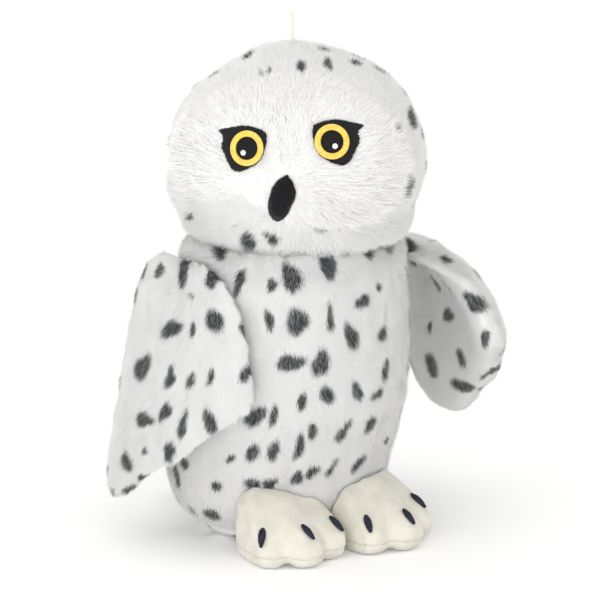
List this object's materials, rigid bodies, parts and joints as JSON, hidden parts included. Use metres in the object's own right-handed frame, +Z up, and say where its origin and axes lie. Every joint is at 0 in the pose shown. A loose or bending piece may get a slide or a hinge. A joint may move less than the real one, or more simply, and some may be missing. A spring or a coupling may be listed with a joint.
{
  "type": "plush owl",
  "caption": "Sitting plush snowy owl with a turning head, two stuffed wings and two stuffed feet.",
  "frame": {"origin": "middle of the flat base, on the surface that the owl sits on", "axes": "+Z up, the owl's body faces -Y, its left side is +X"},
  "size_m": [0.2479, 0.1912, 0.3208],
  "materials": {
    "plush": "short-pile white plush with charcoal spots",
    "face_plush": "long-pile white plush",
    "velour": "cream short-nap velour",
    "black_velour": "black velour",
    "embroidery": "yellow satin stitch",
    "black_thread": "black satin stitch",
    "white_thread": "white satin stitch",
    "filling": "polyester fibre filling",
    "beans": "bag of plastic pellets",
    "plastic": "moulded plastic",
    "loop_thread": "pale cream thread"
  },
  "bodies": {
    "body": {"belly_panel": "plush", "back_panel_left": "plush", "back_panel_right": "plush", "base_panel": "plush", "tail": "plush", "foot_left_upper": "velour", "foot_left_sole": "velour", "foot_left_stuffing": "filling", "claw_left_1": "black_velour", "claw_left_2": "black_velour", "claw_left_3": "black_velour", "foot_right_upper": "velour", "foot_right_sole": "velour", "foot_right_stuffing": "filling", "claw_right_1": "black_velour", "claw_right_2": "black_velour", "claw_right_3": "black_velour", "body_stuffing": "filling", "bean_pouch": "beans", "neck_body_disc": "plastic"},
    "head": {"head_hood": "plush", "face_panel": "face_plush", "head_stuffing": "filling", "neck_post_disc": "plastic", "neck_lock_washer": "plastic", "beak": "black_velour", "hang_loop": "loop_thread", "eye_patch_left": "black_velour", "eye_ring_left": "embroidery", "eye_pupil_left": "black_thread", "eye_glint_left": "white_thread", "eye_patch_right": "black_velour", "eye_ring_right": "embroidery", "eye_pupil_right": "black_thread", "eye_glint_right": "white_thread"},
    "wing_left": {"wing_left_outer_panel": "plush", "wing_left_inner_panel": "plush", "wing_left_stuffing": "filling"},
    "wing_right": {"wing_right_outer_panel": "plush", "wing_right_inner_panel": "plush", "wing_right_stuffing": "filling"}
  },
  "joints": [
    {"name": "neck_turn", "type": "hinge", "parent": "body", "child": "head", "pos_m": [0, -0.015, 0.187], "axis": [0, 0, 1], "continuous": true},
    {"name": "wing_left_flap", "type": "hinge", "parent": "body", "child": "wing_left", "pos_m": [0.0752, -0.006, 0.168], "axis": [0, -1, 0], "range_deg": [-8, 35], "stiffness_Nm_per_rad": 0.12},
    {"name": "wing_right_flap", "type": "hinge", "parent": "body", "child": "wing_right", "pos_m": [-0.0752, -0.006, 0.168], "axis": [0, 1, 0], "range_deg": [-1, 60], "stiffness_Nm_per_rad": 0.12}
  ]
}
